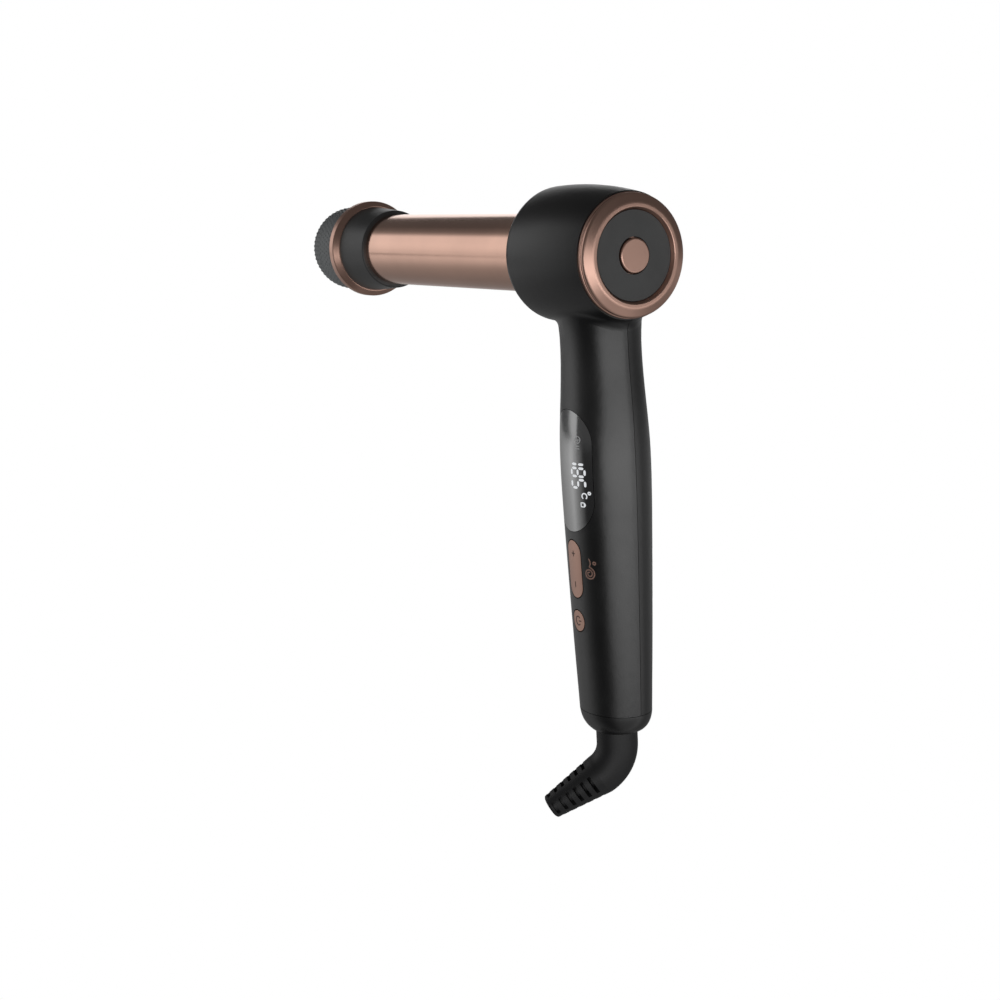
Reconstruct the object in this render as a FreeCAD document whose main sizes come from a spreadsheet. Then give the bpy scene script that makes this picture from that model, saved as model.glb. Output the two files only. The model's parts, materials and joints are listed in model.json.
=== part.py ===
"""Automatic hair curler: a rotating heated barrel on a hammer-shaped handle.

Everything is laid out from the head centre, where the barrel axis (X) crosses the handle axis (Z).
+X points to the rear cover, -X to the cool tip, -Y is the control face and -Z runs down the handle.
Each finished piece is then lifted by barrel_height, so that the origin is in the middle of the grip.
"""
import FreeCAD, Part
import math
import os
import re
from types import SimpleNamespace

import Sketcher

SIZES = {
    # overall
    "barrel_height": 105.0,
    "running_gap": 0.05,
    "shell_wall": 2.4,
    "seam_half": 0.1,
    # barrel and tip, measured along -X from the handle axis
    "barrel_radius": 16.0,
    "barrel_bore": 14.6,
    "barrel_end": 163.0,
    "barrel_root": 14.0,
    "collar_start": 160.8,
    "collar_near_radius": 17.8,
    "collar_radius": 19.5,
    "collar_end": 180.0,
    "ring_radius": 22.2,
    "ring_end": 186.4,
    "spigot_radius": 15.0,
    "spigot_end": 184.0,
    "dome_radius": 19.3,
    "dome_end": 221.0,
    "dome_round": 18.6,
    "dome_hollow_radius": 16.6,
    "dome_hollow_round": 12.4,
    "tip_bearing_radius": 9.0,
    "tip_screw_radius": 1.5,
    # stationary core and heater
    "core_radius": 5.0,
    "core_bore": 3.9,
    "core_front": 176.0,
    "carrier_radius": 13.6,
    "carrier_front": 156.0,
    "carrier_length": 124.0,
    "heater_width": 17.6,
    "heater_thick": 2.6,
    "heater_length": 112.0,
    "heater_offset": 7.4,
    # drum
    "drum_front": 27.0,
    "drum_front_radius": 26.6,
    "drum_bulge": 188.0,
    "drum_back": 21.4,
    "drum_back_radius": 24.6,
    "drum_mouth": 22.0,
    "drum_round": 4.6,
    "junction_round": 5.0,
    # housing screws
    "screw_radius": 1.3,
    "screw_head_radius": 2.6,
    "screw_seat": 6.0,
    "cross_length": 3.0,
    "cross_width": 0.7,
    "left_post_radius": 3.2,
    "right_post_radius": 3.6,
    # rear end
    "rear_ring_radius": 24.1,
    "rear_face": 24.5,
    "rear_crest": 26.0,
    "cover_radius": 17.3,
    "cover_hole": 7.2,
    "button_radius": 6.7,
    # drive
    "gear_teeth": 30,
    "pinion_teeth": 10,
    "gear_front": 4.0,
    "gear_width": 6.0,
    "gear_centres": 16.15,
    "hub_radius": 9.0,
    "bearing_outer": 11.5,
    "plate_radius": 23.6,
    "front_plate": 10.5,
    "motor_plate": 5.0,
    "plate_thick": 2.5,
    "motor_radius": 6.0,
    "motor_length": 11.5,
    "shaft_radius": 1.0,
    # controls on the -Y face
    "window_top": 59.5,
    "window_length": 49.0,
    "window_width": 27.0,
    "rocker_drop": 124.0,
    "rocker_length": 23.6,
    "rocker_width": 9.8,
    "power_drop": 145.5,
    "power_radius": 4.3,
    "control_shift": 2.5,
    "button_gap": 0.45,
    "window_gap": 0.15,
    "slot_outer": 24.0,
    "slot_inner": 2.0,
    "lens_thick": 1.8,
    "button_thick": 3.4,
    "board_face": 5.5,
    "board_thick": 1.6,
    "rocker_pin_depth": 9.6,
    "rocker_pin_radius": 0.8,
    "rocker_eye_half": 2.5,
    "rocker_pin_half": 4.6,
    "switch_width": 6.0,
    "switch_height": 3.4,
    "plunger_radius": 1.5,
    "rocker_plunger_length": 5.7,
    "power_plunger_length": 4.8,
    "capacitor_radius": 4.0,
    # cord swivel
    "neck_radius": 8.5,
    "journal_radius": 7.0,
    "cap_bottom": 193.0,
    "neck_bottom": 199.2,
    "bend_radius": 16.0,
    "bend_angle": 58.0,
    "relief_length": 24.9,
    "relief_tip_radius": 5.1,
    "cord_radius": 3.1,
}
# Handle outline below the head centre: drop, half depth along X, half width along Y
GRIP_OVALS = [
    (20.0, 18.6, 17.1),
    (26.0, 18.4, 15.5),
    (32.0, 18.3, 14.9),
    (42.0, 18.6, 14.8),
    (70.0, 20.2, 16.5),
    (100.0, 20.1, 16.6),
    (130.0, 19.2, 15.6),
    (160.0, 18.2, 14.4),
    (184.0, 17.2, 13.4),
]
CAP_OVALS = [
    (184.2, 17.2, 13.4),
    (188.0, 16.3, 12.7),
    (191.0, 14.2, 11.2),
    (192.5, 11.9, 9.8),
    (193.0, 10.6, 9.2),
]
LETTERS = "abcdefghi"
SWIVEL_HEADING = math.radians(238.0)
SCREW_DROPS = (50.0, 169.8)

for family, ovals in (("grip", GRIP_OVALS), ("cap", CAP_OVALS)):
    for letter, (drop, depth, width) in zip(LETTERS, ovals):
        SIZES[f"{family}_drop_{letter}"] = drop
        SIZES[f"{family}_depth_{letter}"] = depth
        SIZES[f"{family}_width_{letter}"] = width
size = SimpleNamespace(**SIZES)

doc = FreeCAD.newDocument("hair_curler")
sheet = doc.addObject("Spreadsheet::Sheet", "Sizes")
for row, (alias, value) in enumerate(SIZES.items(), start=1):
    sheet.set(f"A{row}", alias)
    sheet.set(f"B{row}", str(value))
    sheet.setAlias(f"B{row}", alias)
doc.recompute()

FINISHED = []
X_AXIS = FreeCAD.Vector(1, 0, 0)
Y_AXIS = FreeCAD.Vector(0, 1, 0)
ALONG_X = FreeCAD.Rotation(Y_AXIS, 90)
ALONG_Y = FreeCAD.Rotation(X_AXIS, -90)
ALONG_Z = FreeCAD.Rotation()
CONTROL_X = "0 - control_shift"
SLOT_Y = "0 - slot_outer"


def bound(text):
    """An expression in which each size's name points at its cell."""
    def cell(word):
        return "Sizes." + word[0] if word[0] in SIZES else word[0]

    return re.sub(r"[a-z][a-z_]*", cell, str(text))


def bind(thing, **fields):
    for field, text in fields.items():
        thing.setExpression(field, bound(text))
    return thing


def place(thing, x="0", y="0", z="0", turn=ALONG_Z):
    thing.Placement = FreeCAD.Placement(FreeCAD.Vector(), turn)
    for axis, text in (("x", x), ("y", y), ("z", z)):
        thing.setExpression("Placement.Base." + axis, bound(text))
    return thing


def finish(thing, label):
    """Name a finished piece and lift it from the head centre to its height above the grip."""
    thing.Label = label
    lift = "Sizes.barrel_height"
    for path, expression in thing.ExpressionEngine:
        if path.endswith("Placement.Base.z"):
            lift = f"Sizes.barrel_height + ({expression})"
    thing.setExpression("Placement.Base.z", lift)
    FINISHED.append(thing)
    return thing


def box(name, length, width, height, x, y, z):
    """A block sized along X, Y and Z, with its low corner at x, y, z."""
    block = doc.addObject("Part::Box", name)
    bind(block, Length=length, Width=width, Height=height)
    return place(block, x, y, z)


def rod(name, radius, height, x="0", y="0", z="0", turn=ALONG_X):
    stick = doc.addObject("Part::Cylinder", name)
    bind(stick, Radius=radius, Height=height)
    return place(stick, x, y, z, turn)


def fuse(name, *things):
    union = doc.addObject("Part::MultiFuse", name)
    union.Shapes = list(things)
    return union


def cut(name, base, tool):
    result = doc.addObject("Part::Cut", name)
    result.Base = base
    result.Tool = tool
    return result


def common(name, *things):
    result = doc.addObject("Part::MultiCommon", name)
    result.Shapes = list(things)
    return result


def group(name, things):
    compound = doc.addObject("Part::Compound", name)
    compound.Links = list(things)
    return compound


def plane_sketch(body, name, role):
    sketch = body.newObject("Sketcher::SketchObject", name)
    plane = [feature for feature in body.Origin.OriginFeatures if feature.Role == role][0]
    sketch.AttachmentSupport = [(plane, "")]
    sketch.MapMode = "FlatFace"
    return sketch


def outline(sketch, corners):
    """A closed outline of straight lines, each corner held to the sheet by its two distances."""
    count = len(corners)
    middle = 2 * math.pi / count
    rough = [FreeCAD.Vector(math.cos(middle * n), math.sin(middle * n), 0) for n in range(count)]
    for index in range(count):
        sketch.addGeometry(Part.LineSegment(rough[index], rough[(index + 1) % count]), False)
    for index in range(count):
        sketch.addConstraint(Sketcher.Constraint("Coincident", index, 2, (index + 1) % count, 1))
    for index, (across, up) in enumerate(corners):
        for kind, axis, text in (("DistanceX", -2, across), ("DistanceY", -1, up)):
            if text == "0":
                sketch.addConstraint(Sketcher.Constraint("PointOnObject", index, 1, axis))
            else:
                number = sketch.addConstraint(Sketcher.Constraint(kind, -1, 1, index, 1, 1.0))
                sketch.setExpression(f"Constraints[{number}]", bound(text))


def round_rims(body, rims, radius):
    """Round a turned body's rims, each given by its place along the axis and its radius."""
    base = body.Tip
    names = []
    for number, edge in enumerate(base.Shape.Edges, start=1):
        if not isinstance(edge.Curve, Part.Circle):
            continue
        centre = edge.Curve.Center
        for along, rim in rims:
            if abs(centre.x + centre.z - along) < 1e-3 and abs(edge.Curve.Radius - rim) < 1e-3:
                names.append(f"Edge{number}")
    if len(names) < len(rims):
        raise RuntimeError(f"{body.Label}: {len(names)} of {len(rims)} rims found")
    rounding = body.newObject("PartDesign::Fillet", f"{body.Name}_round")
    rounding.Base = (base, names)
    rounding.Radius = radius
    body.Tip = rounding
    doc.recompute()


def turned(name, corners, upright=False):
    """A body turned from along and radius pairs about the barrel axis, or the handle axis if upright."""
    body = doc.addObject("PartDesign::Body", name)
    sketch = plane_sketch(body, name + "_outline", "XZ_Plane")
    outline(sketch, [(radius, along) if upright else (along, radius) for along, radius in corners])
    turn = body.newObject("PartDesign::Revolution", name + "_turn")
    turn.Profile = sketch
    turn.ReferenceAxis = (sketch, ["V_Axis" if upright else "H_Axis"])
    turn.Angle = 360
    doc.recompute()
    return body


def tube(name, start, end, outer, inner, upright=False):
    corners = [(start, inner), (start, outer), (end, outer), (end, inner)]
    return turned(name, corners, upright)


def solid_rod(name, start, end, radius, upright=False):
    corners = [(start, "0"), (start, radius), (end, radius), (end, "0")]
    return turned(name, corners, upright)


# ---------------------------------------------------------------- housing
def oval_loft(name, family, count, inset=0.0, first_shift=0.0, last_shift=0.0):
    """A smooth solid through the ovals of one family, inset by a wall, its two ends moved down."""
    sections = []
    shifts = {LETTERS[0]: first_shift, LETTERS[count - 1]: last_shift}
    for letter in LETTERS[:count]:
        shift = shifts.get(letter, 0.0)
        oval = doc.addObject("Part::Ellipse", f"{name}_oval_{letter}")
        bind(
            oval,
            MajorRadius=f"{family}_depth_{letter} - {inset}",
            MinorRadius=f"{family}_width_{letter} - {inset}",
        )
        sections.append(place(oval, z=f"0 - {family}_drop_{letter} - {shift}"))
    loft = doc.addObject("Part::Loft", name)
    loft.Sections = sections
    loft.Solid = True
    loft.Ruled = False
    return loft


def drum(name, inset):
    """The drum's bulged outer form, or its hollow, inset by the wall and open at the back."""
    wall = size.shell_wall if inset else 0.0
    wall_text = "shell_wall" if inset else "0"
    back_text = "drum_back + 1" if inset else "drum_back"
    front, back = wall - size.drum_front, size.drum_back + (1 if inset else 0)
    corners = [
        (front, 0),
        (front, size.drum_front_radius - wall),
        (back, size.drum_back_radius - wall),
        (back, 0),
    ]
    texts = [
        (f"{wall_text} - drum_front", "0"),
        (f"{wall_text} - drum_front", f"drum_front_radius - {wall_text}"),
        (back_text, f"drum_back_radius - {wall_text}"),
        (back_text, "0"),
    ]
    body = doc.addObject("PartDesign::Body", name)
    sketch = plane_sketch(body, name + "_outline", "XZ_Plane")
    points = [FreeCAD.Vector(x, y, 0) for x, y in corners]
    bulge = size.drum_bulge - wall
    chord = points[1] - points[2]
    sink = math.sqrt(bulge**2 - (chord.Length / 2) ** 2)
    inward = FreeCAD.Vector(-chord.y, chord.x, 0).normalize()
    centre = (points[1] + points[2]) / 2 + inward * sink
    ends = [math.atan2(point.y - centre.y, point.x - centre.x) for point in (points[2], points[1])]
    arc = Part.ArcOfCircle(Part.Circle(centre, FreeCAD.Vector(0, 0, 1), bulge), *ends)
    for piece in (
        Part.LineSegment(points[0], points[1]),
        arc,
        Part.LineSegment(points[2], points[3]),
        Part.LineSegment(points[3], points[0]),
    ):
        sketch.addGeometry(piece, False)
    # The arc runs from its back end, which is its first, to its front end.
    for join in ((0, 2, 1, 2), (1, 1, 2, 1), (2, 2, 3, 1), (3, 2, 0, 1)):
        sketch.addConstraint(Sketcher.Constraint("Coincident", *join))
    for (line, end), point, pair in zip(((0, 1), (0, 2), (2, 1), (2, 2)), points, texts):
        for kind, axis, value, text in zip(("DistanceX", "DistanceY"), (-2, -1), point, pair):
            if text == "0":
                sketch.addConstraint(Sketcher.Constraint("PointOnObject", line, end, axis))
            else:
                number = sketch.addConstraint(Sketcher.Constraint(kind, -1, 1, line, end, value))
                sketch.setExpression(f"Constraints[{number}]", bound(text))
    held = sketch.addConstraint(Sketcher.Constraint("Radius", 1, bulge))
    sketch.setExpression(f"Constraints[{held}]", bound(f"drum_bulge - {wall_text}"))
    turn = body.newObject("PartDesign::Revolution", name + "_turn")
    turn.Profile = sketch
    turn.ReferenceAxis = (sketch, ["H_Axis"])
    turn.Angle = 360
    doc.recompute()
    return body


def slot(name, drop, length, width, grow="0"):
    """A round-ended slot along the control face, on the controls' line."""
    half = f"({width}) / 2 + {grow}"
    reach = f"({length}) / 2 - ({width}) / 2"
    deep = "slot_outer - slot_inner"
    ends = [
        rod(f"{name}_{tag}", half, deep, CONTROL_X, SLOT_Y, f"0 - ({drop}) {sign} ({reach})", ALONG_Y)
        for tag, sign in (("top", "+"), ("low", "-"))
    ]
    middle = box(
        f"{name}_middle",
        f"2 * ({half})",
        deep,
        f"2 * ({reach})",
        f"{CONTROL_X} - ({half})",
        SLOT_Y,
        f"0 - ({drop}) - ({reach})",
    )
    return fuse(name, *ends, middle)


drum_outside = drum("drum_outside", False)
round_rims(drum_outside, [(-size.drum_front, size.drum_front_radius)], size.drum_round)
drum_hollow = drum("drum_hollow", True)
last = len(GRIP_OVALS)
grip_outside = oval_loft("grip_outside", "grip", last)
grip_hollow = oval_loft("grip_hollow", "grip", last, size.shell_wall, -3.0, 1.0)
form = fuse("form", drum_outside, grip_outside)
doc.recompute()
junction = [
    number
    for number, edge in enumerate(form.Shape.Edges, start=1)
    if edge.BoundBox.ZMax < -15 and edge.BoundBox.ZMin > -60 and edge.BoundBox.XLength > 3
]
outside = doc.addObject("Part::Fillet", "outside")
outside.Base = form
outside.Edges = [(number, size.junction_round, size.junction_round) for number in junction]
mouth = rod("mouth", "drum_mouth", "6", "0 - drum_front - 1")
hollow = fuse("hollow", drum_hollow, grip_hollow, mouth)
shell = cut("shell", outside, hollow)


def half_space(name, side):
    low = "0 - 40" if side < 0 else "seam_half"
    return box(name, "80", "40 - seam_half", "240", "0 - 40", low, "0 - 200")


def screw_posts(name, side, radius, bore):
    """Posts along Y at the screws, from the seam out to the shell."""
    low = "0 - 20" if side < 0 else "seam_half"
    posts = [
        rod(f"{name}_{n}", radius, "20 - seam_half", "0", low, f"0 - {drop}", ALONG_Y)
        for n, drop in enumerate(SCREW_DROPS)
    ]
    inside = common(name + "_inside", group(name + "_all", posts), outside)
    holes = [
        rod(f"{name}_hole_{n}", bore, "22", "0", low if side > 0 else "0 - 8", f"0 - {drop}", ALONG_Y)
        for n, drop in enumerate(SCREW_DROPS)
    ]
    return inside, holes


window_middle = "window_top + window_length / 2"
window = slot("window", window_middle, "window_length", "window_width", "window_gap")
rocker_hole = slot("rocker_hole", "rocker_drop", "rocker_length", "rocker_width", "button_gap")
power_hole = rod(
    "power_hole",
    "power_radius + button_gap",
    "slot_outer - slot_inner",
    CONTROL_X,
    SLOT_Y,
    "0 - power_drop",
    ALONG_Y,
)
posts, holes = screw_posts("left_posts", -1, "left_post_radius", "screw_radius")
left = fuse("left_with_posts", common("left_half", shell, half_space("left_side", -1)), posts)
left_holes = fuse("left_holes", window, rocker_hole, power_hole, *holes)
finish(cut("housing_left", left, left_holes), "housing_left")

posts, holes = screw_posts("right_posts", 1, "right_post_radius", "screw_radius + 0.3")
recesses = [
    rod(f"head_recess_{n}", "screw_head_radius + 0.3", "20", "0", "screw_seat", f"0 - {drop}", ALONG_Y)
    for n, drop in enumerate(SCREW_DROPS)
]
right = fuse("right_with_posts", common("right_half", shell, half_space("right_side", 1)), posts)
finish(cut("housing_right", right, fuse("right_holes", *holes, *recesses)), "housing_right")

screws = []
for n, drop in enumerate(SCREW_DROPS):
    shank = rod(f"screw_shank_{n}", "screw_radius", "13", "0", "screw_seat - 13", f"0 - {drop}", ALONG_Y)
    head = rod(f"screw_head_{n}", "screw_head_radius", "2", "0", "screw_seat", f"0 - {drop}", ALONG_Y)
    cross = [
        box(
            f"screw_cross_{n}_{tag}",
            along,
            "2",
            upright,
            f"0 - {along} / 2",
            "screw_seat + 1",
            f"0 - {drop} - {upright} / 2",
        )
        for tag, along, upright in (("wide", "cross_length", "cross_width"), ("tall", "cross_width", "cross_length"))
    ]
    screws.append(cut(f"screw_{n}", fuse(f"screw_body_{n}", shank, head), fuse(f"screw_cross_{n}", *cross)))
finish(group("housing_screws", screws), "housing_screws")

bezel = tube(
    "front_bezel",
    "0 - drum_front + 0.4",
    "0 - drum_front + 3.4",
    "drum_mouth - 0.05",
    "barrel_radius + 0.6",
)
round_rims(bezel, [(-size.drum_front + 0.4, size.barrel_radius + 0.6)], 0.6)
finish(bezel, "front_bezel")
finish(tube("heat_shield", "0 - 22.5", "0 - 20.5", "24", "barrel_radius + 0.6"), "heat_shield")

# ---------------------------------------------------------------- rear end
rear_ring = turned(
    "rear_ring",
    [
        ("drum_back", "cover_radius + 0.1"),
        ("drum_back", "rear_ring_radius"),
        ("drum_back + 1.3", "rear_ring_radius"),
        ("drum_back + 1.3", "rear_ring_radius - 0.8"),
        ("drum_back + 1.8", "rear_ring_radius - 0.8"),
        ("drum_back + 1.8", "rear_ring_radius - 0.3"),
        ("rear_crest - 1.5", "rear_ring_radius - 0.3"),
        ("rear_crest", "cover_radius + 2.8"),
        ("rear_crest", "cover_radius + 1.1"),
        ("rear_face - 0.4", "cover_radius + 0.1"),
    ],
)
round_rims(rear_ring, [(size.rear_crest - 1.5, size.rear_ring_radius - 0.3)], 1.2)
round_rims(rear_ring, [(size.rear_crest, size.cover_radius + 2.8)], 2.6)
round_rims(rear_ring, [(size.rear_crest, size.cover_radius + 1.1)], 0.4)
round_rims(rear_ring, [(size.drum_back + 1.3, size.rear_ring_radius)], 0.4)
finish(rear_ring, "rear_ring")
cover = tube("rear_cover_disc", "rear_face - 2.2", "rear_face", "cover_radius", "cover_hole")
legs = [rod(f"cover_leg_{n}", 1.5, "9", "rear_face - 11", y, "0") for n, y in enumerate(("0 - 11", "11"))]
finish(fuse("rear_cover", cover, *legs), "rear_cover")
button = turned(
    "rear_button",
    [
        ("rear_face - 4.2", "0"),
        ("rear_face - 4.2", "8.3"),
        ("rear_face - 2.6", "8.3"),
        ("rear_face - 2.6", "button_radius"),
        ("rear_face + 0.9", "button_radius"),
        ("rear_face + 0.9", "0"),
    ],
)
round_rims(button, [(size.rear_face + 0.9, size.button_radius)], 0.6)
finish(button, "rear_button")
finish(
    box("rear_switch_board", "board_thick", "26", "12", "rear_face - 11 - board_thick", "0 - 13", "0 - 6"),
    "rear_switch_board",
)
rear_can = box("rear_switch_can", "3.2", "6", "6", "rear_face - 11", "0 - 3", "0 - 3")
rear_plunger = rod("rear_plunger", 1.7, "5.2", "rear_face - 11")
finish(fuse("rear_switch", rear_can, rear_plunger), "rear_switch")

# ---------------------------------------------------------------- barrel, turning
barrel = tube("barrel_tube", "0 - barrel_end", "0 - barrel_root", "barrel_radius", "barrel_bore")
finish(barrel, "barrel_tube")
collar = turned(
    "tip_collar",
    [
        ("0 - collar_start", "barrel_radius"),
        ("0 - collar_start", "collar_near_radius"),
        ("0 - collar_end", "collar_radius"),
        ("0 - collar_end", "spigot_radius"),
        ("0 - spigot_end", "spigot_radius"),
        ("0 - spigot_end", "tip_screw_radius"),
        ("0 - collar_end", "tip_screw_radius"),
        ("0 - collar_end", "tip_bearing_radius"),
        ("0 - collar_end + 14", "tip_bearing_radius"),
        ("0 - collar_end + 14", "barrel_bore"),
        ("0 - barrel_end", "barrel_bore"),
        ("0 - barrel_end", "barrel_radius"),
    ],
)
round_rims(collar, [(-size.collar_start, size.collar_near_radius)], 0.7)
finish(collar, "tip_collar")
tip_ring = turned(
    "tip_ring",
    [
        ("0 - collar_end", "spigot_radius"),
        ("0 - collar_end", "collar_radius + 0.4"),
        ("0 - collar_end - 2.2", "ring_radius"),
        ("0 - ring_end", "ring_radius"),
        ("0 - ring_end", "spigot_radius"),
    ],
)
round_rims(tip_ring, [(-size.ring_end, size.ring_radius)], 1.2)
round_rims(tip_ring, [(-size.collar_end - 2.2, size.ring_radius)], 0.8)
finish(tip_ring, "tip_ring")
dome = turned(
    "cool_tip",
    [
        ("0 - ring_end", "dome_hollow_radius"),
        ("0 - ring_end", "dome_radius"),
        ("0 - dome_end", "dome_radius"),
        ("0 - dome_end", "0"),
        ("0 - dome_end + 20", "0"),
        ("0 - dome_end + 20", "tip_screw_radius"),
        ("0 - spigot_end", "tip_screw_radius"),
        ("0 - spigot_end", "3.6"),
        ("0 - dome_end + 4", "3.6"),
        ("0 - dome_end + 4", "dome_hollow_radius"),
    ],
)
round_rims(dome, [(-size.dome_end, size.dome_radius)], size.dome_round)
round_rims(dome, [(-size.dome_end + 4, size.dome_hollow_radius)], size.dome_hollow_round)
finish(dome, "cool_tip")
tip_screw = turned(
    "tip_screw",
    [
        ("0 - collar_end + 2", "0"),
        ("0 - collar_end + 2", "2.8"),
        ("0 - collar_end", "2.8"),
        ("0 - collar_end", "tip_screw_radius"),
        ("0 - collar_end - 19", "tip_screw_radius"),
        ("0 - collar_end - 19", "0"),
    ],
)
finish(tip_screw, "tip_screw")
tip_bearing = tube(
    "tip_bearing",
    "0 - collar_end + 4.2",
    "0 - collar_end + 14",
    "tip_bearing_radius",
    "core_radius + running_gap",
)
finish(tip_bearing, "tip_bearing")
hub = turned(
    "barrel_hub",
    [
        ("0 - barrel_root - 10", "12.4"),
        ("0 - barrel_root - 10", "barrel_bore"),
        ("0 - barrel_root", "barrel_bore"),
        ("0 - barrel_root", "barrel_radius"),
        ("0 - barrel_root + 2", "barrel_radius"),
        ("0 - barrel_root + 2", "hub_radius"),
        ("3", "hub_radius"),
        ("3", "core_radius + 1"),
        ("0 - barrel_root", "core_radius + 1"),
        ("0 - barrel_root", "12.4"),
    ],
)
finish(hub, "barrel_hub")


def toothed(name, teeth, bore, root, tip, halves, first_angle):
    """A spur gear along X: a rim and one straight-sided tooth, patterned round the axis."""
    start = "0 - gear_front"
    body = doc.addObject("PartDesign::Body", name)
    disc = plane_sketch(body, name + "_disc", "YZ_Plane")
    for radius in [text for text in (root, bore) if text != "0"]:
        number = disc.addGeometry(Part.Circle(FreeCAD.Vector(), FreeCAD.Vector(0, 0, 1), 1.0), False)
        disc.addConstraint(Sketcher.Constraint("Coincident", number, 3, -1, 1))
        held = disc.addConstraint(Sketcher.Constraint("Radius", number, 1.0))
        disc.setExpression(f"Constraints[{held}]", bound(radius))
    disc.setExpression("AttachmentOffset.Base.z", bound(start))
    pad = body.newObject("PartDesign::Pad", name + "_rim")
    pad.Profile = disc
    bind(pad, Length="gear_width")
    tooth = plane_sketch(body, name + "_tooth_outline", "YZ_Plane")
    tooth.AttachmentOffset = FreeCAD.Placement(
        FreeCAD.Vector(), FreeCAD.Rotation(FreeCAD.Vector(0, 0, 1), first_angle)
    )
    tooth.setExpression("AttachmentOffset.Base.z", bound(start))
    foot, crest = halves
    outline(
        tooth,
        [
            (f"0 - {foot}", f"{root} - 0.3"),
            (foot, f"{root} - 0.3"),
            (crest, tip),
            (f"0 - {crest}", tip),
        ],
    )
    first = body.newObject("PartDesign::Pad", name + "_tooth")
    first.Profile = tooth
    bind(first, Length="gear_width")
    doc.recompute()
    pattern = body.newObject("PartDesign::PolarPattern", name + "_teeth")
    pattern.Originals = [first]
    pattern.Axis = (disc, ["N_Axis"])
    pattern.Angle = 360
    bind(pattern, Occurrences=teeth)
    body.Tip = pattern
    doc.recompute()
    return body


gear = toothed("barrel_gear", "gear_teeth", "hub_radius", "11", "12.72", ("0.8", "0.25"), 180)
finish(gear, "barrel_gear")

# ---------------------------------------------------------------- stationary core, heater and drive
core = tube("core_tube", "0 - core_front", "motor_plate + plate_thick", "core_radius", "core_bore")
finish(core, "core_tube")
carrier = tube(
    "carrier_body",
    "0 - carrier_front",
    "0 - carrier_front + carrier_length",
    "carrier_radius",
    "core_radius",
)
pockets = [
    box(
        f"heater_pocket_{tag}",
        "heater_length + 0.4",
        "heater_width + 0.2",
        "heater_thick + 0.2",
        "0 - carrier_front + (carrier_length - heater_length) / 2 - 0.2",
        "0 - heater_width / 2 - 0.1",
        f"0 {sign} heater_offset - heater_thick / 2 - 0.1",
    )
    for tag, sign in (("upper", "+"), ("lower", "-"))
]
finish(cut("heater_carrier", carrier, fuse("heater_pockets", *pockets)), "heater_carrier")
for tag, sign in (("upper", "+"), ("lower", "-")):
    plate = box(
        f"heater_plate_{tag}",
        "heater_length",
        "heater_width",
        "heater_thick",
        "0 - carrier_front + (carrier_length - heater_length) / 2",
        "0 - heater_width / 2",
        f"0 {sign} heater_offset - heater_thick / 2",
    )
    finish(plate, f"heater_plate_{tag}")
carrier_end = "0 - carrier_front + carrier_length"
front_bush = tube("carrier_front_bush", "0 - carrier_front - 3", "0 - carrier_front", "11", "core_radius")
finish(front_bush, "carrier_front_bush")
rear_bush = tube("carrier_rear_bush", carrier_end, f"{carrier_end} + 3", "11", "core_radius")
finish(rear_bush, "carrier_rear_bush")
finish(rod("thermal_fuse", 1.8, "9", "0 - 28.5", "0", "7.2"), "thermal_fuse")
finish(rod("temperature_sensor", 1.0, "6", "0 - 28.5", "0", "0 - 6.6"), "temperature_sensor")

SPACER_PLACES = (("0 - 17", "9"), ("17", "9"))
plate = solid_rod("front_plate_disc", "0 - front_plate", "0 - front_plate + plate_thick", "plate_radius")
bearing_hole = rod("bearing_hole", "bearing_outer", "9", "0 - front_plate - 2")
finish(cut("gear_chassis", plate, bearing_hole), "gear_chassis")
finish(
    tube("hub_bearing", "0 - front_plate", "0 - front_plate + 5.5", "bearing_outer", "hub_radius + running_gap"),
    "hub_bearing",
)
rear_plate = solid_rod("motor_plate_disc", "motor_plate", "motor_plate + plate_thick", "22.6")
plate_holes = [
    rod("core_hole", "core_radius", "6", "motor_plate - 1"),
    rod("shaft_hole", "shaft_radius + 0.6", "6", "motor_plate - 1", "0", "0 - gear_centres"),
]
finish(cut("motor_plate", rear_plate, fuse("plate_holes", *plate_holes)), "motor_plate")
spacers = [
    rod(f"spacer_{n}", 2.0, "motor_plate + front_plate - plate_thick", "0 - front_plate + plate_thick", y, z)
    for n, (y, z) in enumerate(SPACER_PLACES)
]
finish(group("plate_spacers", spacers), "plate_spacers")
motor_face = "motor_plate + plate_thick"
heads = [
    rod(f"spacer_screw_{n}", 2.2, "1.6", motor_face, y, z) for n, (y, z) in enumerate(SPACER_PLACES)
]
finish(group("spacer_screws", heads), "spacer_screws")
motor_z = "0 - gear_centres"
motor_can = rod("motor_can", "motor_radius", "motor_length", motor_face, "0", motor_z)
motor_bore = rod("motor_bore", "shaft_radius + running_gap", "6", f"{motor_face} - 0.1", "0", motor_z)
finish(cut("motor", motor_can, motor_bore), "motor")
pinion = toothed("pinion_gear", "pinion_teeth", "0", "3", "4.72", ("0.56", "0.25"), 18)
place(pinion, z=motor_z)
shaft = rod("motor_shaft", "shaft_radius", f"{motor_face} + 4", "1", "0", motor_z)
finish(fuse("motor_pinion", pinion, shaft), "motor_pinion")

# ---------------------------------------------------------------- display and controls
grip_inset = oval_loft("lens_back", "grip", last, size.lens_thick, -3.0, 1.0)
skin = cut("grip_skin", grip_outside, grip_inset)
lens_slot = slot("lens_slot", window_middle, "window_length - 0.1", "window_width - 0.1")
finish(common("display_lens", skin, lens_slot), "display_lens")
finish(
    box("display_module", "18", "4.8", "42", "0 - 9", "0 - board_face - 4.8", "0 - window_top - 45.5"),
    "display_module",
)
circuit_board = box("circuit_board", "22", "board_thick", "104", "0 - 11", "0 - board_face", "0 - 164")
finish(circuit_board, "circuit_board")

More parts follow.
